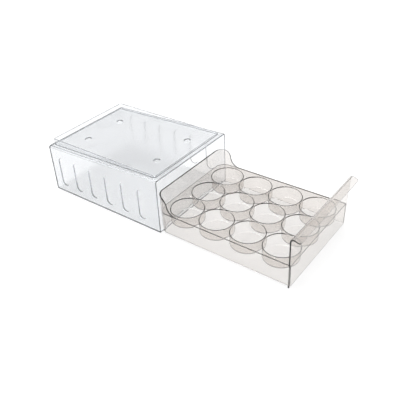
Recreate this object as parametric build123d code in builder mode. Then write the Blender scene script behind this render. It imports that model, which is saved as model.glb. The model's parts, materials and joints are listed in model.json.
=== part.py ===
from build123d import *
import os
from math import atan, cos, degrees, isclose, radians, sin

# A clear plastic egg drawer for a fridge: a housing that is open at its front, and a drawer with
# twelve egg cups that slides into it. Millimetres. X runs across the opening, Y from the handle to
# the back of the housing, and Z is up. The origin is on the ground, at the middle of the footprint,
# and the drawer is drawn out until only its rear edge is still inside the housing.

os.makedirs("parts", exist_ok=True)

# Housing: the sleeve
HOUSING_WIDTH = 176.0
HOUSING_DEPTH = 230.0
FRONT_HEIGHT = 91.7        # top of the housing above its opening
BACK_HEIGHT = 83.3         # the top falls towards the back
HOUSING_WALL = 2.2
FLOOR_THICKNESS = 1.8
SHOULDER_RADIUS = 4.0      # long outer edges of the top
SHOULDER_DROP = 6.0        # how far the top's edges reach down over the side walls
BACK_CORNER_RADIUS = 1.9   # upright corners at the back, and the top's back edge

# Housing: the rim that a second housing stands on, level although the top slopes
RIM_LEVEL = 94.2
RIM_WALL = 1.8
RIM_SIDE_INSET = 8.0
RIM_FRONT_INSET = 6.9
RIM_BACK_INSET = 5.7
RIM_CORNER_RADIUS = 4.0

# Housing: four round dimples in the top
DIMPLE_RADIUS = 6.0
DIMPLE_DEPTH = 1.0
DIMPLE_SPACING_X = 75.4
DIMPLE_SPACING_Y = 149.0
DIMPLE_FRONT_INSET = 39.0  # from the opening to the first pair

# Housing: six upright recesses in each side wall
RECESS_COUNT = 6
RECESS_PITCH = 34.3
RECESS_FRONT_INSET = 31.7  # from the opening to the middle of the first recess
RECESS_WIDTH = 16.5
RECESS_BOTTOM = 13.8
RECESS_TOP = 67.8
RECESS_DEPTH = 1.1

# Drawer: body
DRAWER_DEPTH = 224.4       # front face of the panel to the foot of the rear wall
DECK_HEIGHT = 37.4         # top of the deck, and of the side walls
DECK_THICKNESS = 1.8
DRAWER_WALL = 2.2
DRAWER_BOTTOM = 2.1        # the walls end just above the housing's floor
DECK_HALF_WIDTH = 84.8     # outside of the side walls at the deck
DRAFT = 0.0215             # how much the walls lean out for each millimetre of height
REAR_HEIGHT = 65.5
REAR_CORNER_RADIUS = 17.5
SWEEP_TOP_INSET = 4.0      # the rear wall's top edge starts to fall here, in front of the rear face
SWEEP_FOOT_INSET = 36.0    # and meets the side walls' top here
REAR_WALL_REACH = 40.0     # length of the rear wall's two returns along the sides

# Drawer: front panel and the handle lip curled over its top
PANEL_HALF_WIDTH = 86.0    # at the ground
PANEL_THICKNESS = 2.2
LIP_START = 78.0           # height where the panel starts to curl forward
LIP_INNER_RADIUS = 3.6
LIP_TURN = 108.0           # degrees from upright to the lip's slope
LIP_FLAT = 7.9             # straight part after the curl
LIP_CORNER_RADIUS = 4.0

# Drawer: egg cups
CUP_COLUMNS = 3
CUP_ROWS = 4
CUP_PITCH = 53.0
FIRST_ROW_INSET = 31.7     # from the panel's front face to the middle of the first row
CUP_INNER_RADIUS = 25.0
CUP_WALL = 1.4
CUP_TAPER = 0.6            # how much narrower the cup is at its foot
CUP_BOTTOM = 17.2          # underside of the cup
CUP_FLOOR = 1.6
CUP_INNER_ROUND = 2.4
CUP_OUTER_ROUND = 3.6
CUP_MOUTH_ROUND = 1.3
DECK_CORNER_EASE = 1.0     # how much rounder the deck's corners are than the wall round them

# Placing along Y
REST_OVERLAP = 6.0         # how much of the drawer is still inside the housing
LIP_REACH = (              # how far the handle lip stands out in front of the panel
    LIP_INNER_RADIUS
    - (LIP_INNER_RADIUS + PANEL_THICKNESS) * cos(radians(LIP_TURN))
    + LIP_FLAT * sin(radians(LIP_TURN))
)
TOTAL_LENGTH = LIP_REACH + DRAWER_DEPTH - REST_OVERLAP + HOUSING_DEPTH
PANEL_FRONT = -TOTAL_LENGTH / 2 + LIP_REACH
PANEL_BACK = PANEL_FRONT + PANEL_THICKNESS
REAR_FACE = PANEL_FRONT + DRAWER_DEPTH
OPENING = REAR_FACE - REST_OVERLAP
BACK_FACE = OPENING + HOUSING_DEPTH
HALF_WIDTH = HOUSING_WIDTH / 2
INNER_HALF_WIDTH = HALF_WIDTH - HOUSING_WALL
TOP_SLOPE = (FRONT_HEIGHT - BACK_HEIGHT) / HOUSING_DEPTH
DRAFT_ANGLE = degrees(atan(DRAFT))


def top_height(y):
    """Height of the housing's top surface at y."""
    return FRONT_HEIGHT - TOP_SLOPE * (y - OPENING)


def drawer_half_width(z):
    """Half of the drawer's outside width at height z."""
    return DECK_HALF_WIDTH + DRAFT * (z - DECK_HEIGHT)


# ---- Housing floor ----

with BuildPart() as housing_floor:
    with BuildSketch(Plane.XY):
        with Locations((0, OPENING + HOUSING_DEPTH / 2)):
            Rectangle(HOUSING_WIDTH, HOUSING_DEPTH)
    extrude(amount=FLOOR_THICKNESS)
    fillet(housing_floor.edges().filter_by(Axis.Z).group_by(Axis.Y)[-1], BACK_CORNER_RADIUS)
housing_floor.part.label = "housing_floor"
export_step(housing_floor.part, "parts/housing_floor.step")

# ---- Housing side walls, each with a row of upright recesses on its outer face ----

for side, side_name in ((-1, "left"), (1, "right")):
    outer_face = Plane(origin=(side * HALF_WIDTH, 0, 0), x_dir=(0, side, 0), z_dir=(side, 0, 0))
    with BuildPart() as side_wall:
        with BuildSketch(outer_face):
            with BuildLine():
                Polyline(
                    (side * OPENING, FLOOR_THICKNESS),
                    (side * BACK_FACE, FLOOR_THICKNESS),
                    (side * BACK_FACE, top_height(BACK_FACE) - SHOULDER_DROP),
                    (side * OPENING, top_height(OPENING) - SHOULDER_DROP),
                    close=True,
                )
            make_face()
        extrude(amount=-HOUSING_WALL)
        back_corner = side_wall.edges().filter_by(Axis.Z).group_by(Axis.Y)[-1]
        fillet(back_corner.sort_by(Axis.X)[0 if side < 0 else -1], BACK_CORNER_RADIUS)
        with BuildSketch(outer_face):
            for number in range(RECESS_COUNT):
                recess_y = OPENING + RECESS_FRONT_INSET + number * RECESS_PITCH
                with Locations((side * recess_y, (RECESS_TOP + RECESS_BOTTOM) / 2)):
                    SlotOverall(RECESS_TOP - RECESS_BOTTOM, RECESS_WIDTH, rotation=90)
        extrude(amount=-RECESS_DEPTH, mode=Mode.SUBTRACT)
    side_wall.part.label = f"housing_{side_name}_wall"
    export_step(side_wall.part, f"parts/housing_{side_name}_wall.step")

# ---- Housing back wall, between the side walls ----

with BuildPart() as housing_back_wall:
    with BuildSketch(Plane.YZ.offset(-INNER_HALF_WIDTH)):
        with BuildLine():
            Polyline(
                (BACK_FACE - HOUSING_WALL, FLOOR_THICKNESS),
                (BACK_FACE, FLOOR_THICKNESS),
                (BACK_FACE, top_height(BACK_FACE) - HOUSING_WALL),
                (BACK_FACE - HOUSING_WALL, top_height(BACK_FACE - HOUSING_WALL) - HOUSING_WALL),
                close=True,
            )
        make_face()
    extrude(amount=2 * INNER_HALF_WIDTH)
housing_back_wall.part.label = "housing_back_wall"
export_step(housing_back_wall.part, "parts/housing_back_wall.step")

# ---- Housing top: a channel section with round shoulders, running down towards the back ----

with BuildPart() as housing_top:
    with BuildSketch(Plane(origin=(0, OPENING, 0), x_dir=(1, 0, 0), z_dir=(0, -1, 0))):
        with BuildLine():
            Polyline(
                (-HALF_WIDTH, FRONT_HEIGHT - SHOULDER_DROP),
                (-HALF_WIDTH, FRONT_HEIGHT),
                (HALF_WIDTH, FRONT_HEIGHT),
                (HALF_WIDTH, FRONT_HEIGHT - SHOULDER_DROP),
                (INNER_HALF_WIDTH, FRONT_HEIGHT - SHOULDER_DROP),
                (INNER_HALF_WIDTH, FRONT_HEIGHT - HOUSING_WALL),
                (-INNER_HALF_WIDTH, FRONT_HEIGHT - HOUSING_WALL),
                (-INNER_HALF_WIDTH, FRONT_HEIGHT - SHOULDER_DROP),
                close=True,
            )
        make_face()
    slope_length = (HOUSING_DEPTH**2 + (FRONT_HEIGHT - BACK_HEIGHT) ** 2) ** 0.5
    extrude(amount=slope_length, dir=(0, HOUSING_DEPTH, BACK_HEIGHT - FRONT_HEIGHT))
    shoulders = housing_top.edges().filter_by(lambda edge: edge.length > HOUSING_DEPTH)
    fillet(shoulders.group_by(lambda edge: round(edge.center().Z, 1))[-1], SHOULDER_RADIUS)
    back_end = housing_top.faces().sort_by(Axis.Y)[-1]
    inner_side = HALF_WIDTH - HOUSING_WALL / 2
    back_outline = back_end.edges().filter_by(
        lambda edge: edge.center().Z > BACK_HEIGHT - HOUSING_WALL or abs(edge.center().X) > inner_side
    )
    fillet(back_outline, BACK_CORNER_RADIUS)
    for dimple_row in range(2):
        dimple_y = OPENING + DIMPLE_FRONT_INSET + dimple_row * DIMPLE_SPACING_Y
        with BuildSketch(Plane.XY.offset(top_height(dimple_y) - DIMPLE_DEPTH)):
            with Locations((0, dimple_y)):
                with GridLocations(DIMPLE_SPACING_X, 1, 2, 1):
                    Circle(DIMPLE_RADIUS)
        extrude(amount=2 * DIMPLE_DEPTH, mode=Mode.SUBTRACT)
housing_top.part.label = "housing_top"
export_step(housing_top.part, "parts/housing_top.step")

# ---- Stacking rim: a thin rib on the top, level along its upper edge ----

with BuildPart() as stacking_rim:
    rim_width = HOUSING_WIDTH - 2 * RIM_SIDE_INSET
    rim_length = HOUSING_DEPTH - RIM_FRONT_INSET - RIM_BACK_INSET
    rim_middle = OPENING + RIM_FRONT_INSET + rim_length / 2
    with BuildSketch(Plane.XY.offset(BACK_HEIGHT - HOUSING_WALL)):
        with Locations((0, rim_middle)):
            RectangleRounded(rim_width, rim_length, RIM_CORNER_RADIUS)
            RectangleRounded(
                rim_width - 2 * RIM_WALL,
                rim_length - 2 * RIM_WALL,
                RIM_CORNER_RADIUS - RIM_WALL,
                mode=Mode.SUBTRACT,
            )
    extrude(amount=RIM_LEVEL - BACK_HEIGHT + HOUSING_WALL)
    top_surface = Plane(origin=(0, OPENING, FRONT_HEIGHT), x_dir=(1, 0, 0), z_dir=(0, TOP_SLOPE, 1))
    split(bisect_by=top_surface, keep=Keep.TOP)
stacking_rim.part.label = "housing_stacking_rim"
export_step(stacking_rim.part, "parts/housing_stacking_rim.step")

# ---- Drawer front panel, wider than the housing's mouth, so that it is the drawer's stop ----

with BuildPart() as front_panel:
    with BuildSketch(Plane(origin=(0, PANEL_BACK, 0), x_dir=(1, 0, 0), z_dir=(0, -1, 0))):
        with BuildLine():
            lip_half_width = PANEL_HALF_WIDTH + DRAFT * LIP_START
            Polyline(
                (-PANEL_HALF_WIDTH, 0),
                (PANEL_HALF_WIDTH, 0),
                (lip_half_width, LIP_START),
                (-lip_half_width, LIP_START),
                close=True,
            )
        make_face()
    extrude(amount=PANEL_THICKNESS)
front_panel.part.label = "drawer_front_panel"
export_step(front_panel.part, "parts/drawer_front_panel.step")

# ---- Handle lip: the panel's top curled forward and down, with rounded ends ----

with BuildPart() as handle_lip:
    with BuildSketch(Plane.YZ.offset(-lip_half_width)):
        with BuildLine():
            curl_centre = (PANEL_FRONT - LIP_INNER_RADIUS, LIP_START)
            outer_curl = CenterArc(curl_centre, LIP_INNER_RADIUS + PANEL_THICKNESS, 0, LIP_TURN)
            inner_curl = CenterArc(curl_centre, LIP_INNER_RADIUS, 0, LIP_TURN)
            upper_flat = PolarLine(outer_curl @ 1, LIP_FLAT, direction=outer_curl % 1)
            lower_flat = PolarLine(inner_curl @ 1, LIP_FLAT, direction=inner_curl % 1)
            Line(upper_flat @ 1, lower_flat @ 1)
            Line(outer_curl @ 0, inner_curl @ 0)
        make_face()
    extrude(amount=2 * lip_half_width)
    lip_front = handle_lip.part.bounding_box().min.Y
    with BuildSketch(Plane.XY.offset(LIP_START)):
        with BuildLine():
            FilletPolyline(
                (-lip_half_width, PANEL_BACK),
                (-lip_half_width, lip_front),
                (lip_half_width, lip_front),
                (lip_half_width, PANEL_BACK),
                radius=LIP_CORNER_RADIUS,
            )
            Line((lip_half_width, PANEL_BACK), (-lip_half_width, PANEL_BACK))
        make_face()
    extrude(amount=2 * LIP_REACH, mode=Mode.INTERSECT)
handle_lip.part.label = "drawer_handle_lip"
export_step(handle_lip.part, "parts/drawer_handle_lip.step")

# ---- Drawer side walls: plates that lean out, and end where the rear wall's returns start ----

RETURN_START = REAR_FACE - REAR_WALL_REACH

for side, side_name in ((-1, "left"), (1, "right")):
    foot = side * drawer_half_width(DRAWER_BOTTOM)
    head = side * drawer_half_width(DECK_HEIGHT)
    inwards = -side * DRAWER_WALL
    with BuildPart() as drawer_side:
        with BuildSketch(Plane(origin=(0, RETURN_START, 0), x_dir=(1, 0, 0), z_dir=(0, -1, 0))):
            with BuildLine():
                Polyline(
                    (foot, DRAWER_BOTTOM),
                    (head, DECK_HEIGHT),
                    (head + inwards, DECK_HEIGHT),
                    (foot + inwards, DRAWER_BOTTOM),
                    close=True,
                )
            make_face()
        extrude(amount=RETURN_START - PANEL_BACK)
    drawer_side.part.label = f"drawer_{side_name}_wall"
    export_step(drawer_side.part, f"parts/drawer_{side_name}_wall.step")

# ---- Drawer rear wall: taller, round at its corners, swept down to the side walls ----

with BuildPart() as rear_wall:
    foot_half_width = drawer_half_width(DRAWER_BOTTOM)
    for inset, how in ((0, Mode.ADD), (DRAWER_WALL, Mode.SUBTRACT)):
        with BuildSketch(Plane.XY.offset(DRAWER_BOTTOM)):
            with BuildLine():
                half = foot_half_width - inset
                FilletPolyline(
                    (-half, PANEL_BACK),
                    (-half, REAR_FACE - inset),
                    (half, REAR_FACE - inset),
                    (half, PANEL_BACK),
                    radius=REAR_CORNER_RADIUS - inset,
                )
                Line((half, PANEL_BACK), (-half, PANEL_BACK))
            make_face()
        extrude(amount=REAR_HEIGHT - DRAWER_BOTTOM, taper=-DRAFT_ANGLE, mode=how)
    split(bisect_by=Plane(origin=(0, RETURN_START, 0), z_dir=(0, 1, 0)), keep=Keep.TOP)
    with BuildSketch(Plane.YZ.offset(-HALF_WIDTH)):
        with BuildLine():
            sweep_top = (REAR_FACE - SWEEP_TOP_INSET, REAR_HEIGHT)
            sweep_foot = (REAR_FACE - SWEEP_FOOT_INSET, DECK_HEIGHT)
            sweep_middle = tuple(sum(ends) / 2 for ends in zip(sweep_top, sweep_foot))
            upper_curve = TangentArc(sweep_top, sweep_middle, tangent=(-1, 0))
            TangentArc(upper_curve @ 1, sweep_foot, tangent=upper_curve % 1)
            Polyline(
                sweep_foot,
                (RETURN_START - DRAWER_WALL, DECK_HEIGHT),
                (RETURN_START - DRAWER_WALL, REAR_HEIGHT + DRAWER_WALL),
                (sweep_top[0], REAR_HEIGHT + DRAWER_WALL),
                sweep_top,
            )
        make_face()
    extrude(amount=HOUSING_WIDTH, mode=Mode.SUBTRACT)
rear_wall.part.label = "drawer_rear_wall"
export_step(rear_wall.part, "parts/drawer_rear_wall.step")

# ---- Drawer deck, with a round-edged hole over each cup ----

CUP_GRID_MIDDLE = PANEL_FRONT + FIRST_ROW_INSET + CUP_PITCH * (CUP_ROWS - 1) / 2
deck_underside = DECK_HEIGHT - DECK_THICKNESS

with BuildPart() as deck:
    deck_half_width = drawer_half_width(deck_underside) - DRAWER_WALL
    deck_back = REAR_FACE + DRAFT * (deck_underside - DRAWER_BOTTOM) - DRAWER_WALL
    with BuildSketch(Plane.XY.offset(deck_underside)):
        with BuildLine():
            FilletPolyline(
                (-deck_half_width, PANEL_BACK),
                (-deck_half_width, deck_back),
                (deck_half_width, deck_back),
                (deck_half_width, PANEL_BACK),
                radius=REAR_CORNER_RADIUS - DRAWER_WALL + DECK_CORNER_EASE,
            )
            Line((deck_half_width, PANEL_BACK), (-deck_half_width, PANEL_BACK))
        make_face()
        with Locations((0, CUP_GRID_MIDDLE)):
            with GridLocations(CUP_PITCH, CUP_PITCH, CUP_COLUMNS, CUP_ROWS):
                Circle(CUP_INNER_RADIUS, mode=Mode.SUBTRACT)
    extrude(amount=DECK_THICKNESS)
    mouths = deck.edges().filter_by(GeomType.CIRCLE).filter_by(
        lambda edge: isclose(edge.radius, CUP_INNER_RADIUS)
    )
    fillet(mouths.group_by(Axis.Z)[-1], CUP_MOUTH_ROUND)
deck.part.label = "drawer_deck"
export_step(deck.part, "parts/drawer_deck.step")

# ---- Twelve egg cups, hanging under the deck ----

for row in range(CUP_ROWS):
    for column in range(CUP_COLUMNS):
        cup_x = (column - (CUP_COLUMNS - 1) / 2) * CUP_PITCH
        cup_y = PANEL_FRONT + FIRST_ROW_INSET + row * CUP_PITCH
        cup_section = Plane(origin=(cup_x, cup_y, 0), x_dir=(1, 0, 0), z_dir=(0, -1, 0))
        with BuildPart() as cup:
            with BuildSketch(cup_section):
                with BuildLine():
                    outer = FilletPolyline(
                        (0, CUP_BOTTOM),
                        (CUP_INNER_RADIUS + CUP_WALL - CUP_TAPER, CUP_BOTTOM),
                        (CUP_INNER_RADIUS + CUP_WALL, deck_underside),
                        radius=CUP_OUTER_ROUND,
                    )
                    inner = FilletPolyline(
                        (0, CUP_BOTTOM + CUP_FLOOR),
                        (CUP_INNER_RADIUS - CUP_TAPER, CUP_BOTTOM + CUP_FLOOR),
                        (CUP_INNER_RADIUS, deck_underside),
                        radius=CUP_INNER_ROUND,
                    )
                    Line(outer @ 1, inner @ 1)
                    Line(outer @ 0, inner @ 0)
                make_face()
            revolve(axis=Axis((cup_x, cup_y, 0), (0, 0, 1)))
        cup.part.label = f"egg_cup_row{row + 1}_col{column + 1}"
        export_step(cup.part, f"parts/{cup.part.label}.step")
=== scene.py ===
import json
from math import asin, atan, cos, pi, radians, sin, sqrt, tan

import bmesh
import bpy
from mathutils import Matrix, Vector


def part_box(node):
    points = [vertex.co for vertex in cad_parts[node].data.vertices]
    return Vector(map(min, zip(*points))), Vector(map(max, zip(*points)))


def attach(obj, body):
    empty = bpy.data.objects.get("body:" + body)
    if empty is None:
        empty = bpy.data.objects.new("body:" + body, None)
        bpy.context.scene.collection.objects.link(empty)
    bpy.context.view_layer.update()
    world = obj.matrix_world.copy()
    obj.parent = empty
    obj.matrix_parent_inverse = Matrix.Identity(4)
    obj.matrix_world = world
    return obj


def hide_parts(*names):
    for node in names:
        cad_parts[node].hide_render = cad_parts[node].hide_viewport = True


# A clear plastic egg drawer for a fridge. Metres, in the CAD frame: X runs across the opening, Y from
# the handle to the back of the housing, and Z is up. The real object is two mouldings, so two closed
# meshes stand for the CAD nodes: with a face inside the plastic, light would bend where there is no edge.

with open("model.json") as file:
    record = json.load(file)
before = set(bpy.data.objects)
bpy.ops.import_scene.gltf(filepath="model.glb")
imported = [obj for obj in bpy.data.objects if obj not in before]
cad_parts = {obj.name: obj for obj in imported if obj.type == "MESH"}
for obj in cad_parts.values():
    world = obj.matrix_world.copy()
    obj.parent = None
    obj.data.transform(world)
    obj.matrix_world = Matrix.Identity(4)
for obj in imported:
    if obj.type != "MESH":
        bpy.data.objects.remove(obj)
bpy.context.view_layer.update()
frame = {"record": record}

MM = 0.001

# ---------------------------------------------------------------- sizes

floor_low, floor_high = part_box("housing_floor")
top_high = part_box("housing_top")[1]
rim_low, rim_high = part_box("housing_stacking_rim")
panel_low, panel_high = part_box("drawer_front_panel")
deck_low, deck_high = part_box("drawer_deck")
wall_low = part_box("drawer_left_wall")[0]
rear_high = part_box("drawer_rear_wall")[1]
cup_low, cup_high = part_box("egg_cup_row1_col1")

# Housing
OPENING = floor_low.y
BACK_FACE = floor_high.y
HALF_WIDTH = floor_high.x
HOUSING_WALL = 2.2 * MM
FLOOR_THICKNESS = floor_high.z
FRONT_HEIGHT = top_high.z
BACK_HEIGHT = 83.3 * MM
SHOULDER_RADIUS = 4.0 * MM
LEAST_RADIUS = 0.2 * MM         # what is left of a corner where a ring shrinks
FOOT_RADIUS = 1.6 * MM          # long lower edges
BACK_RADIUS = 1.9 * MM
INNER_RADIUS = 1.4 * MM         # corners inside the housing
LIP_ROUND = 0.55 * MM           # edges of the opening
TOP_SLOPE = (FRONT_HEIGHT - BACK_HEIGHT) / (BACK_FACE - OPENING)

# Stacking rim
RIM_WALL = 1.8 * MM
RIM_CORNER_RADIUS = 4.0 * MM
RIM_ROUND = 0.85 * MM
RIM_FOOT_ROUND = 0.6 * MM
RIM_SUNK = 1.0 * MM             # how far its foot goes into the top

# Dimples in the top, and recesses in the side walls
DIMPLE_RADIUS = 6.0 * MM
DIMPLE_DEPTH = 1.0 * MM
DIMPLE_SPACING_X = 75.4 * MM
DIMPLE_SPACING_Y = 149.0 * MM
DIMPLE_FRONT_INSET = 39.0 * MM
RECESS_COUNT = 6
RECESS_PITCH = 34.3 * MM
RECESS_FRONT_INSET = 31.7 * MM
RECESS_WIDTH = 16.5 * MM
RECESS_BOTTOM = 13.8 * MM
RECESS_TOP = 67.8 * MM
RECESS_DEPTH = 1.1 * MM
MOULD_ROUND = 1.0 * MM          # edges of dimples and recesses
MOULD_ANGLES = (8, 18, 29, 40)  # degrees of slope along those rounded edges
MOULD_CLEARANCE = 0.3 * MM      # how far a pressing tool starts outside the surface

# Drawer
PANEL_FRONT = panel_low.y
PANEL_THICKNESS = panel_high.y - panel_low.y
PANEL_HALF_WIDTH = 86.0 * MM
LIP_START = panel_high.z
LIP_INNER_RADIUS = 3.6 * MM
LIP_TURN = radians(108)
LIP_FLAT = 7.9 * MM
LIP_CORNER_RADIUS = 4.0 * MM
PANEL_ROUND = 0.5 * MM
LEAST_PANEL_ROUND = 0.05 * MM
DECK_HEIGHT = deck_high.z
DECK_UNDERSIDE = deck_low.z
DRAWER_WALL = 2.2 * MM
DRAWER_BOTTOM = wall_low.z
DRAFT = 0.0215                  # how much the walls lean out for each unit of height
DECK_HALF_WIDTH = 84.8 * MM     # outside of the side walls at the deck
FOOT_HALF_WIDTH = DECK_HALF_WIDTH - DRAFT * (DECK_HEIGHT - DRAWER_BOTTOM)
DRAWER_DEPTH = 224.4 * MM       # panel's front to the rear wall's foot
REAR_FACE = PANEL_FRONT + DRAWER_DEPTH
REAR_HEIGHT = rear_high.z
REAR_CORNER_RADIUS = 17.5 * MM
SWEEP_TOP_INSET = 4.0 * MM
SWEEP_FOOT_INSET = 36.0 * MM
SWEEP_LEAD_IN = 8.0 * MM        # straight edge that is left to the sweep's first steps
DECK_PROUD = 0.02 * MM          # low walls stand this far above the deck, so that no faces coincide
BURIED = 0.2 * MM               # the deck's edge stops this far short of the middle of the walls

# Egg cups
CUP_ROWS = 4
CUP_COLUMNS = 3
CUP_PITCH = 53.0 * MM
CUP_OUTER_RADIUS = (cup_high.x - cup_low.x) / 2
CUP_WALL = 1.4 * MM
CUP_TAPER = 0.6 * MM
CUP_BOTTOM = cup_low.z
CUP_FLOOR = 1.6 * MM
CUP_INNER_ROUND = 2.4 * MM
CUP_OUTER_ROUND = 3.6 * MM
CUP_MOUTH_ROUND = 1.3 * MM
CUP_OVERCUT = 0.5 * MM          # how far the cutting tool stands clear of the deck
first_cup = (cup_low + cup_high) / 2


def top_height(y):
    """Height of the housing's sloping top surface at y."""
    return FRONT_HEIGHT - TOP_SLOPE * (y - OPENING)


# ---------------------------------------------------------------- mesh helpers


def arc(centre, radius, start, end, steps):
    """Points in a plane along an arc, from start to end in degrees, both ends included."""
    angles = [radians(start + (end - start) * k / steps) for k in range(steps + 1)]
    return [(centre[0] + radius * cos(a), centre[1] + radius * sin(a)) for a in angles]


def rounded_rectangle(low, high, radii, steps=6):
    """Outline of a rectangle, anticlockwise from its lower left corner, with a radius for each corner."""
    corners = (
        (low[0], low[1], 1, 1, 180),
        (high[0], low[1], -1, 1, 270),
        (high[0], high[1], -1, -1, 0),
        (low[0], high[1], 1, -1, 90),
    )
    points = []
    for (x, y, to_x, to_y, start), radius in zip(corners, radii):
        points += arc((x + to_x * radius, y + to_y * radius), radius, start, start + 90, steps)
    return points


def new_object(name, mesh):
    piece = bpy.data.objects.new(name, mesh)
    bpy.context.scene.collection.objects.link(piece)
    return piece


def loft(name, rings, ring_of_rings=False):
    """A closed solid through rings of equally many points. Its end rings are capped, or joined together."""
    mesh = bmesh.new()
    layers = [[mesh.verts.new(point) for point in ring] for ring in rings]
    pairs = list(zip(layers, layers[1:]))
    if ring_of_rings:
        pairs.append((layers[-1], layers[0]))
    else:
        mesh.faces.new(layers[0])
        mesh.faces.new(layers[-1])
    for one, other in pairs:
        for k in range(len(one)):
            after = (k + 1) % len(one)
            mesh.faces.new((one[k], one[after], other[after], other[k]))
    bmesh.ops.recalc_face_normals(mesh, faces=mesh.faces)
    data = bpy.data.meshes.new(name)
    mesh.to_mesh(data)
    mesh.free()
    return new_object(name, data)


def lathe(name, profile, place=Matrix.Identity(4), steps=96):
    """A solid turned round its own Z axis from (radius, height) points, closed by a disc at each end."""
    rings = []
    for radius, height in profile:
        angles = [2 * pi * k / steps for k in range(steps)]
        rings.append([place @ Vector((radius * cos(a), radius * sin(a), height)) for a in angles])
    return loft(name, rings)


def combine(base, operation, tools):
    """Adds the tools to the base, or takes them away, and deletes them."""
    for tool in tools:
        modifier = base.modifiers.new("combine", "BOOLEAN")
        modifier.operation = operation
        modifier.solver = "MANIFOLD"
        modifier.object = tool
        graph = bpy.context.evaluated_depsgraph_get()
        result = bpy.data.meshes.new_from_object(base.evaluated_get(graph))
        base.modifiers.clear()
        base.data = result
        bpy.data.objects.remove(tool)


def finish_surface(piece, crease=radians(28), weld=0.002 * MM):
    """Welds stray points, smooths the rounded stretches and keeps flat faces flat."""
    mesh = bmesh.new()
    mesh.from_mesh(piece.data)
    bmesh.ops.remove_doubles(mesh, verts=mesh.verts, dist=weld)
    bmesh.ops.dissolve_degenerate(mesh, edges=mesh.edges, dist=weld)
    bmesh.ops.recalc_face_normals(mesh, faces=mesh.faces)
    for face in mesh.faces:
        face.smooth = True
    for edge in mesh.edges:
        edge.smooth = len(edge.link_faces) == 2 and edge.calc_face_angle(0) < crease
    mesh.to_mesh(piece.data)
    mesh.free()
    weighted = piece.modifiers.new("flat faces", "WEIGHTED_NORMAL")
    weighted.keep_sharp = True
    weighted.weight = 100


# ---------------------------------------------------------------- housing


def housing_ring(y, share, inset=0.0):
    """The housing's section at y: share 0 is its outside and 1 its inside, and inset shrinks it further."""
    side = HALF_WIDTH - HOUSING_WALL * share - inset
    low = FLOOR_THICKNESS * share + inset
    high = top_height(y) - HOUSING_WALL * share - inset
    foot = max(FOOT_RADIUS + (INNER_RADIUS - FOOT_RADIUS) * share - inset, LEAST_RADIUS)
    shoulder = max(SHOULDER_RADIUS + (INNER_RADIUS - SHOULDER_RADIUS) * share - inset, LEAST_RADIUS)
    outline = rounded_rectangle((-side, low), (side, high), (foot, foot, shoulder, shoulder), 8)
    return [(x, y, z) for x, z in outline]


def make_housing_shell():
    """A box that is open at its front: one closed skin from the back, round the mouth and back inside."""
    rings = []
    steps = 7
    for k in range(steps + 1):
        turn = pi / 2 * (1 - k / steps)
        y = BACK_FACE - BACK_RADIUS * (1 - sin(turn))
        rings.append(housing_ring(y, 0, BACK_RADIUS * (1 - cos(turn))))
    mouth = arc((OPENING + LIP_ROUND, LIP_ROUND), LIP_ROUND, 270, 180, 5)
    mouth += arc((OPENING + LIP_ROUND, HOUSING_WALL - LIP_ROUND), LIP_ROUND, 180, 90, 5)
    for y, depth in mouth:
        rings.append(housing_ring(y, depth / HOUSING_WALL))
    inner_back = BACK_FACE - HOUSING_WALL
    for k in range(steps + 1):
        turn = pi / 2 * k / steps
        y = inner_back - INNER_RADIUS * (1 - sin(turn))
        rings.append(housing_ring(y, 1, INNER_RADIUS * (1 - cos(turn))))
    return loft("housing", rings)


def mould_edge(depth):
    """A pocket's sloping edge as (inset from its outline, depth), rounded at its mouth and at its foot."""
    turns = [radians(a) for a in MOULD_ANGLES]
    mouth = [(MOULD_ROUND * sin(a), MOULD_ROUND * (1 - cos(a))) for a in turns]
    slope_run = (depth - 2 * mouth[-1][1]) / tan(turns[-1])
    width = 2 * mouth[-1][0] + slope_run
    foot = [(width - inset, depth - rise) for inset, rise in reversed(mouth)]
    foot.append((width, depth))
    start = (mouth[0][0] - MOULD_CLEARANCE / tan(turns[0]), mouth[0][1] - MOULD_CLEARANCE)
    return [start] + mouth + foot


def make_recess_tool(side, y):
    """A stadium-shaped plug that presses one upright recess into a side wall."""
    rings = []
    half_run = (RECESS_TOP - RECESS_BOTTOM - RECESS_WIDTH) / 2
    middle = (RECESS_TOP + RECESS_BOTTOM) / 2
    for inset, depth in mould_edge(RECESS_DEPTH):
        radius = RECESS_WIDTH / 2 - inset
        outline = arc((y, middle + half_run), radius, 0, 180, 28)
        outline += arc((y, middle - half_run), radius, 180, 360, 28)
        rings.append([(side * (HALF_WIDTH - depth), across, up) for across, up in outline])
    return loft("recess", rings)


def make_dimple_tool(x, y):
    """A shallow round plug, square to the sloping top."""
    tilt = Matrix.Rotation(-atan(TOP_SLOPE), 4, "X")
    place = Matrix.Translation((x, y, top_height(y))) @ tilt
    profile = [(DIMPLE_RADIUS - inset, -depth) for inset, depth in mould_edge(DIMPLE_DEPTH)]
    return lathe("dimple", profile, place, 64)


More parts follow.
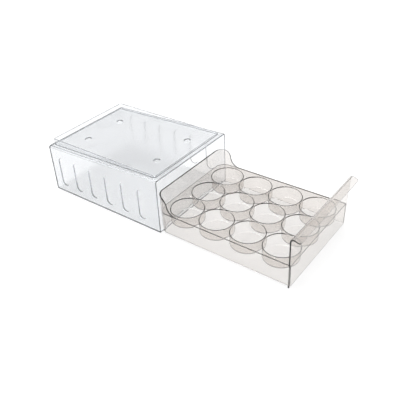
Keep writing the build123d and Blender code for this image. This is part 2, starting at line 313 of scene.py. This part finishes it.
def make_stacking_rim():
    """A thin wall round the top: level along its upper edge, with its foot sunk into the sloping top."""
    path = []
    half = RIM_WALL / 2
    low, high = (rim_low.x + half, rim_low.y + half), (rim_high.x - half, rim_high.y - half)
    radius = RIM_CORNER_RADIUS - half
    middle_line = rounded_rectangle(low, high, (radius,) * 4, 10)
    count = len(middle_line)
    for k in range(count):
        before, after = Vector(middle_line[k - 1]), Vector(middle_line[(k + 1) % count])
        along = (after - before).normalized()
        path.append((Vector(middle_line[k]), Vector((along.y, -along.x))))
    turns = [radians(a) for a in (12, 30, 50, 70, 90)]
    rings = []
    level = rim_high.z
    for point, outwards in path:
        foot = top_height(point.y)
        flare = [(half + RIM_FOOT_ROUND * (1 - sin(a)), foot + RIM_FOOT_ROUND * (1 - cos(a))) for a in turns]
        crown = arc((half - RIM_ROUND, level - RIM_ROUND), RIM_ROUND, 0, 90, 5)
        section = [(flare[0][0], foot - RIM_SUNK)] + flare + crown
        ring = section + [(-offset, height) for offset, height in reversed(section)]
        rings.append([(point.x + outwards.x * offset, point.y + outwards.y * offset, height)
                      for offset, height in ring])
    return loft("rim", rings, ring_of_rings=True)


def make_housing():
    housing = make_housing_shell()
    housing.name = "housing_moulding"
    combine(housing, "UNION", [make_stacking_rim()])
    tools = []
    for side in (-1, 1):
        for number in range(RECESS_COUNT):
            tools.append(make_recess_tool(side, OPENING + RECESS_FRONT_INSET + number * RECESS_PITCH))
        for row in range(2):
            y = OPENING + DIMPLE_FRONT_INSET + row * DIMPLE_SPACING_Y
            tools.append(make_dimple_tool(side * DIMPLE_SPACING_X / 2, y))
    combine(housing, "DIFFERENCE", tools)
    finish_surface(housing)
    return housing


# ---------------------------------------------------------------- drawer


def make_panel_and_lip():
    """The front panel and the handle lip curled over it, as one bent plate with rounded edges."""
    half = PANEL_THICKNESS / 2
    panel_middle = PANEL_FRONT + half
    bend_radius = LIP_INNER_RADIUS + half
    bend_length = bend_radius * LIP_TURN
    length = LIP_START + bend_length + LIP_FLAT

    def middle_line(travel):
        """Point, and the normal towards the plate's outside, as (y, z) after travel from the ground."""
        if travel <= LIP_START:
            return (panel_middle, travel), (1.0, 0.0)
        turn = min((travel - LIP_START) / bend_radius, LIP_TURN)
        normal = (cos(turn), sin(turn))
        y = panel_middle - bend_radius + bend_radius * normal[0]
        z = LIP_START + bend_radius * normal[1]
        beyond = max(travel - LIP_START - bend_length, 0.0)
        return (y - normal[1] * beyond, z + normal[0] * beyond), normal

    turns = [radians(a) for a in (90, 68, 45, 22, 0)]
    stops = [(PANEL_ROUND * (1 - sin(a)), PANEL_ROUND * (1 - cos(a))) for a in turns]
    stations = list(stops)
    stations += [(LIP_START + bend_length * k / 18, 0.0) for k in range(19)]
    corner_start = length - LIP_CORNER_RADIUS
    stations += [(corner_start + LIP_CORNER_RADIUS * share, 0.0) for share in (0, 0.25, 0.45, 0.62, 0.76)]
    stations += [(length - travel, inset) for travel, inset in reversed(stops)]
    rings = []
    for travel, inset in stations:
        (y, z), (normal_y, normal_z) = middle_line(travel)
        wide = PANEL_HALF_WIDTH + DRAFT * min(z, LIP_START)
        into_corner = max(travel - corner_start, 0.0)
        wide -= LIP_CORNER_RADIUS - sqrt(max(LIP_CORNER_RADIUS**2 - into_corner**2, 0.0))
        wide -= inset
        thick = half - inset
        edge = max(PANEL_ROUND - inset, LEAST_PANEL_ROUND)
        outline = rounded_rectangle((-wide, -thick), (wide, thick), (edge,) * 4, 5)
        rings.append([(x, y + normal_y * out, z + normal_z * out) for x, out in outline])
    return loft("panel", rings)


def rear_sweep(steps=14):
    """The top edge from the low side walls up to the rear wall: two arcs, as (y, z, inward normal)."""
    foot = Vector((REAR_FACE - SWEEP_FOOT_INSET, DECK_HEIGHT))
    head = Vector((REAR_FACE - SWEEP_TOP_INSET, REAR_HEIGHT))
    run, rise = head - foot
    radius = (run**2 + rise**2) / (4 * rise)
    turn = asin(run / 2 / radius)
    points = []
    for k in range(steps + 1):
        a = turn * k / steps
        points.append((foot.x + radius * sin(a), foot.y + radius * (1 - cos(a)), (sin(a), -cos(a))))
    for k in range(steps - 1, -1, -1):
        a = turn * k / steps
        points.append((head.x - radius * sin(a), head.y - radius * (1 - cos(a)), (sin(a), -cos(a))))
    return points


def make_skirt():
    """Side walls and rear wall as one plate that is bent round two corners, with a rounded top edge."""
    radius = REAR_CORNER_RADIUS
    corner_start = REAR_FACE - radius
    corner_length = radius * pi / 2
    rear_half = FOOT_HALF_WIDTH - radius
    start = PANEL_FRONT + PANEL_THICKNESS / 2

    def place(travel, side, out, height):
        """A point of the right or left half, by its travel along the foot from the panel."""
        y = start + travel
        if y <= corner_start:
            point, normal = Vector((FOOT_HALF_WIDTH, y)), Vector((1, 0))
        else:
            turn = min((y - corner_start) / radius, pi / 2)
            normal = Vector((cos(turn), sin(turn)))
            point = Vector((rear_half, corner_start)) + normal * radius
            point.x -= max(y - corner_start - corner_length, 0.0)
        point += normal * (out + DRAFT * (height - DRAWER_BOTTOM))
        return (side * point.x, point.y, height)

    def travel_at(y):
        if y <= corner_start:
            return y - start
        return corner_start - start + radius * asin(min((y - corner_start) / radius, 1.0))

    sweep = rear_sweep()
    low_edge = DECK_HEIGHT + DECK_PROUD
    down = (0.0, -1.0)
    edge = [(0.0, low_edge, down), (travel_at(sweep[0][0]) - SWEEP_LEAD_IN, low_edge, down)]
    edge += [(travel_at(y), max(z, low_edge), inwards) for y, z, inwards in sweep]
    sweep_end = edge[-1][0]
    corner_end = corner_start - start + corner_length
    edge += [(sweep_end + (corner_end - sweep_end) * k / 8, REAR_HEIGHT, down) for k in range(1, 9)]
    half = DRAWER_WALL / 2
    top_round = arc((0, 0), 1, 0, 180, 8)
    foot_round = arc((0, 0), 1, 180, 360, 6)
    rings = []
    for side, run in ((-1, edge), (1, list(reversed(edge)))):
        for travel, height, (inwards_y, inwards_z) in run:
            ring = []
            for across, up in top_round:
                back_off = half * (1 - up)
                drop = height + inwards_z * back_off
                ring.append(place(travel + inwards_y * back_off, side, half * (across - 1), drop))
            settled = travel + inwards_y * half
            for across, up in foot_round:
                flattened = DRAWER_BOTTOM + half * (1 + up) / 2
                ring.append(place(settled, side, half * (across - 1), flattened))
            rings.append(ring)
    return loft("skirt", rings)


def make_deck():
    """The flat plate between the walls. Its edge is buried in them."""
    level = DECK_HEIGHT
    middle_of_wall = DRAFT * (level - DRAWER_BOTTOM) - DRAWER_WALL / 2
    half = FOOT_HALF_WIDTH + middle_of_wall - BURIED
    rear = REAR_FACE + middle_of_wall - BURIED
    front = PANEL_FRONT + PANEL_THICKNESS / 2
    radius = REAR_CORNER_RADIUS - DRAWER_WALL / 2
    outline = [(-half, front), (half, front)]
    outline += arc((half - radius, rear - radius), radius, 0, 90, 14)
    outline += arc((radius - half, rear - radius), radius, 90, 180, 14)
    return loft("deck", [[(x, y, z) for x, y in outline] for z in (DECK_UNDERSIDE, level)])


def cup_places():
    for row in range(CUP_ROWS):
        for column in range(CUP_COLUMNS):
            yield Matrix.Translation((first_cup.x + column * CUP_PITCH, first_cup.y + row * CUP_PITCH, 0))


def make_cup_body(place):
    """The outside of one cup, up to the middle of the deck's thickness."""
    foot = CUP_OUTER_RADIUS - CUP_TAPER
    profile = arc((foot - CUP_OUTER_ROUND, CUP_BOTTOM + CUP_OUTER_ROUND), CUP_OUTER_ROUND, 270, 360, 10)
    profile.append((CUP_OUTER_RADIUS, (DECK_HEIGHT + DECK_UNDERSIDE) / 2))
    return lathe("cup", profile, place)


def make_cup_hollow(place):
    """The inside of one cup, with the round edge of its mouth."""
    mouth = CUP_OUTER_RADIUS - CUP_WALL
    foot = mouth - CUP_TAPER
    floor = CUP_BOTTOM + CUP_FLOOR
    profile = arc((foot - CUP_INNER_ROUND, floor + CUP_INNER_ROUND), CUP_INNER_ROUND, 270, 360, 8)
    edge = arc((mouth + CUP_MOUTH_ROUND, DECK_HEIGHT - CUP_MOUTH_ROUND), CUP_MOUTH_ROUND, 180, 98, 8)
    profile += edge
    last = edge[-1]
    profile.append((last[0] + CUP_OVERCUT, last[1] + CUP_OVERCUT))
    return lathe("hollow", profile, place)


def make_drawer():
    drawer = make_deck()
    drawer.name = "drawer_moulding"
    combine(drawer, "UNION", [make_skirt(), make_panel_and_lip()])
    combine(drawer, "UNION", [make_cup_body(place) for place in cup_places()])
    combine(drawer, "DIFFERENCE", [make_cup_hollow(place) for place in cup_places()])
    finish_surface(drawer)
    return drawer


# ---------------------------------------------------------------- materials


def make_clear_plastic(name, tint, absorbed, density, haze):
    """Clear moulded plastic with a tint and haze, faint flow waves and a few scuffed patches. The tint and
    absorption are the plastic's own colour, and for the drawer partly painted shade.
    """
    material = bpy.data.materials.new(name)
    material.use_nodes = True
    nodes, links = material.node_tree.nodes, material.node_tree.links
    shader = nodes["Principled BSDF"]
    output = nodes["Material Output"]
    shader.inputs["Base Color"].default_value = (*tint, 1)
    shader.inputs["Transmission Weight"].default_value = 1.0
    shader.inputs["IOR"].default_value = 1.52

    coordinates = nodes.new("ShaderNodeTexCoord")
    scuffs = nodes.new("ShaderNodeTexNoise")
    scuffs.inputs["Scale"].default_value = 22.0
    scuffs.inputs["Detail"].default_value = 6.0
    scuffs.inputs["Roughness"].default_value = 0.65
    links.new(coordinates.outputs["Object"], scuffs.inputs["Vector"])
    worn = nodes.new("ShaderNodeMapRange")
    worn.inputs["From Min"].default_value = 0.52
    worn.inputs["From Max"].default_value = 0.72
    worn.inputs["To Min"].default_value = haze
    worn.inputs["To Max"].default_value = haze + 0.07
    links.new(scuffs.outputs["Fac"], worn.inputs["Value"])
    links.new(worn.outputs["Result"], shader.inputs["Roughness"])

    waves = nodes.new("ShaderNodeTexNoise")
    waves.inputs["Scale"].default_value = 28.0
    waves.inputs["Detail"].default_value = 1.0
    links.new(coordinates.outputs["Object"], waves.inputs["Vector"])
    bump = nodes.new("ShaderNodeBump")
    bump.inputs["Strength"].default_value = 0.05
    bump.inputs["Distance"].default_value = 0.4 * MM
    links.new(waves.outputs["Fac"], bump.inputs["Height"])
    links.new(bump.outputs["Normal"], shader.inputs["Normal"])

    absorption = nodes.new("ShaderNodeVolumeAbsorption")
    absorption.inputs["Color"].default_value = (*absorbed, 1)
    absorption.inputs["Density"].default_value = density
    links.new(absorption.outputs["Volume"], output.inputs["Volume"])
    return material


def paint(piece, material):
    piece.data.materials.clear()
    piece.data.materials.append(material)


def make_floor_material():
    """White paper that glows a little, as on a light table, with the slightest unevenness."""
    material = bpy.data.materials.new("studio_floor")
    material.use_nodes = True
    nodes, links = material.node_tree.nodes, material.node_tree.links
    shader = nodes["Principled BSDF"]
    shader.inputs["Roughness"].default_value = 0.9
    shader.inputs["Specular IOR Level"].default_value = 0.1
    noise = nodes.new("ShaderNodeTexNoise")
    noise.inputs["Scale"].default_value = 3.0
    shades = nodes.new("ShaderNodeValToRGB")
    shades.color_ramp.elements[0].color = (0.22, 0.22, 0.22, 1)
    shades.color_ramp.elements[1].color = (0.24, 0.24, 0.24, 1)
    shader.inputs["Emission Color"].default_value = (1, 1, 1, 1)
    shader.inputs["Emission Strength"].default_value = 0.81
    links.new(noise.outputs["Fac"], shades.inputs["Fac"])
    links.new(shades.outputs["Color"], shader.inputs["Base Color"])
    return material


# ---------------------------------------------------------------- the object

housing = make_housing()
housing_plastic = make_clear_plastic(
    "clear_housing_plastic",
    tint=(0.985, 0.988, 0.992),
    absorbed=(0.44, 0.52, 0.62),
    density=30.0,
    haze=0.15,
)
paint(housing, housing_plastic)
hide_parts(*frame["record"]["behaviour"]["bodies"]["housing"])
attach(housing, "housing")

drawer = make_drawer()
# The drawer's warm tint and dense absorption are partly the plastic's own colour and partly painted shade
# and painted warm light: they darken the drawer as the shadow under it would, and warm it as light off eggs
# would.
drawer_plastic_and_painted_shade = make_clear_plastic(
    "clear_drawer_plastic",
    tint=(0.99, 0.98, 0.972),
    absorbed=(0.60, 0.56, 0.525),
    density=150.0,
    haze=0.02,
)
paint(drawer, drawer_plastic_and_painted_shade)
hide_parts(*frame["record"]["behaviour"]["bodies"]["drawer"])
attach(drawer, "drawer")

# ---------------------------------------------------------------- studio


def make_floor():
    half = 6.0
    level = -0.05 * MM
    mesh = bpy.data.meshes.new("floor")
    corners = [(-half, -half, level), (half, -half, level), (half, half, level), (-half, half, level)]
    mesh.from_pydata(corners, [], [(0, 1, 2, 3)])
    floor = new_object("floor", mesh)
    floor.data.materials.append(make_floor_material())


def make_world():
    """A soft white studio with a softbox overhead. The dark band low down is what darkens clear edges."""
    world = bpy.data.worlds.new("studio")
    bpy.context.scene.world = world
    world.use_nodes = True
    nodes, links = world.node_tree.nodes, world.node_tree.links
    background = nodes["Background"]
    coordinates = nodes.new("ShaderNodeTexCoord")
    height = nodes.new("ShaderNodeSeparateXYZ")
    shades = nodes.new("ShaderNodeValToRGB")
    ramp = shades.color_ramp
    ramp.elements[0].position = 0.15
    ramp.elements[0].color = (1.0, 1.0, 1.0, 1)
    ramp.elements[1].position = 0.18
    ramp.elements[1].color = (0.05, 0.05, 0.05, 1)
    for position, grey in ((0.29, 0.15), (0.5, 0.85), (0.9, 1.3)):
        ramp.elements.new(position).color = (grey, grey, grey, 1)
    links.new(coordinates.outputs["Generated"], height.inputs["Vector"])
    links.new(height.outputs["Z"], shades.inputs["Fac"])
    links.new(shades.outputs["Color"], background.inputs["Color"])

    towards_box = nodes.new("ShaderNodeVectorMath")
    towards_box.operation = "DOT_PRODUCT"
    towards_box.inputs[1].default_value = Vector((0.15, 0.35, 0.92)).normalized()
    box = nodes.new("ShaderNodeMapRange")
    box.interpolation_type = "SMOOTHSTEP"
    box.inputs["From Min"].default_value = cos(radians(27))
    box.inputs["From Max"].default_value = cos(radians(20))
    box.inputs["To Min"].default_value = 1.0
    box.inputs["To Max"].default_value = 4.0
    links.new(coordinates.outputs["Generated"], towards_box.inputs[0])
    links.new(towards_box.outputs["Value"], box.inputs["Value"])
    links.new(box.outputs["Result"], background.inputs["Strength"])


def make_camera():
    azimuth, elevation, roll = radians(-52), radians(34.4), -0.05
    distance = 0.909
    target = Vector((0.0162, 0.0028, 0.0))
    back = Vector((sin(azimuth) * cos(elevation), -cos(azimuth) * cos(elevation), sin(elevation)))
    right = Vector((cos(azimuth), sin(azimuth), 0))
    up = back.cross(right)
    rolled_right = cos(roll) * right + sin(roll) * up
    rolled_up = cos(roll) * up - sin(roll) * right
    camera = bpy.data.objects.new("camera", bpy.data.cameras.new("camera"))
    bpy.context.scene.collection.objects.link(camera)
    camera.matrix_world = Matrix.LocRotScale(
        target + back * distance, Matrix((rolled_right, rolled_up, back)).transposed(), None
    )
    camera.data.lens = 50
    camera.data.sensor_width = 36
    camera.data.clip_start = 0.01
    bpy.context.scene.camera = camera


make_floor()
make_world()
make_camera()
scene = bpy.context.scene
scene.view_settings.view_transform = "Standard"
scene.cycles.max_bounces = 24
scene.cycles.transmission_bounces = 24
scene.cycles.glossy_bounces = 12
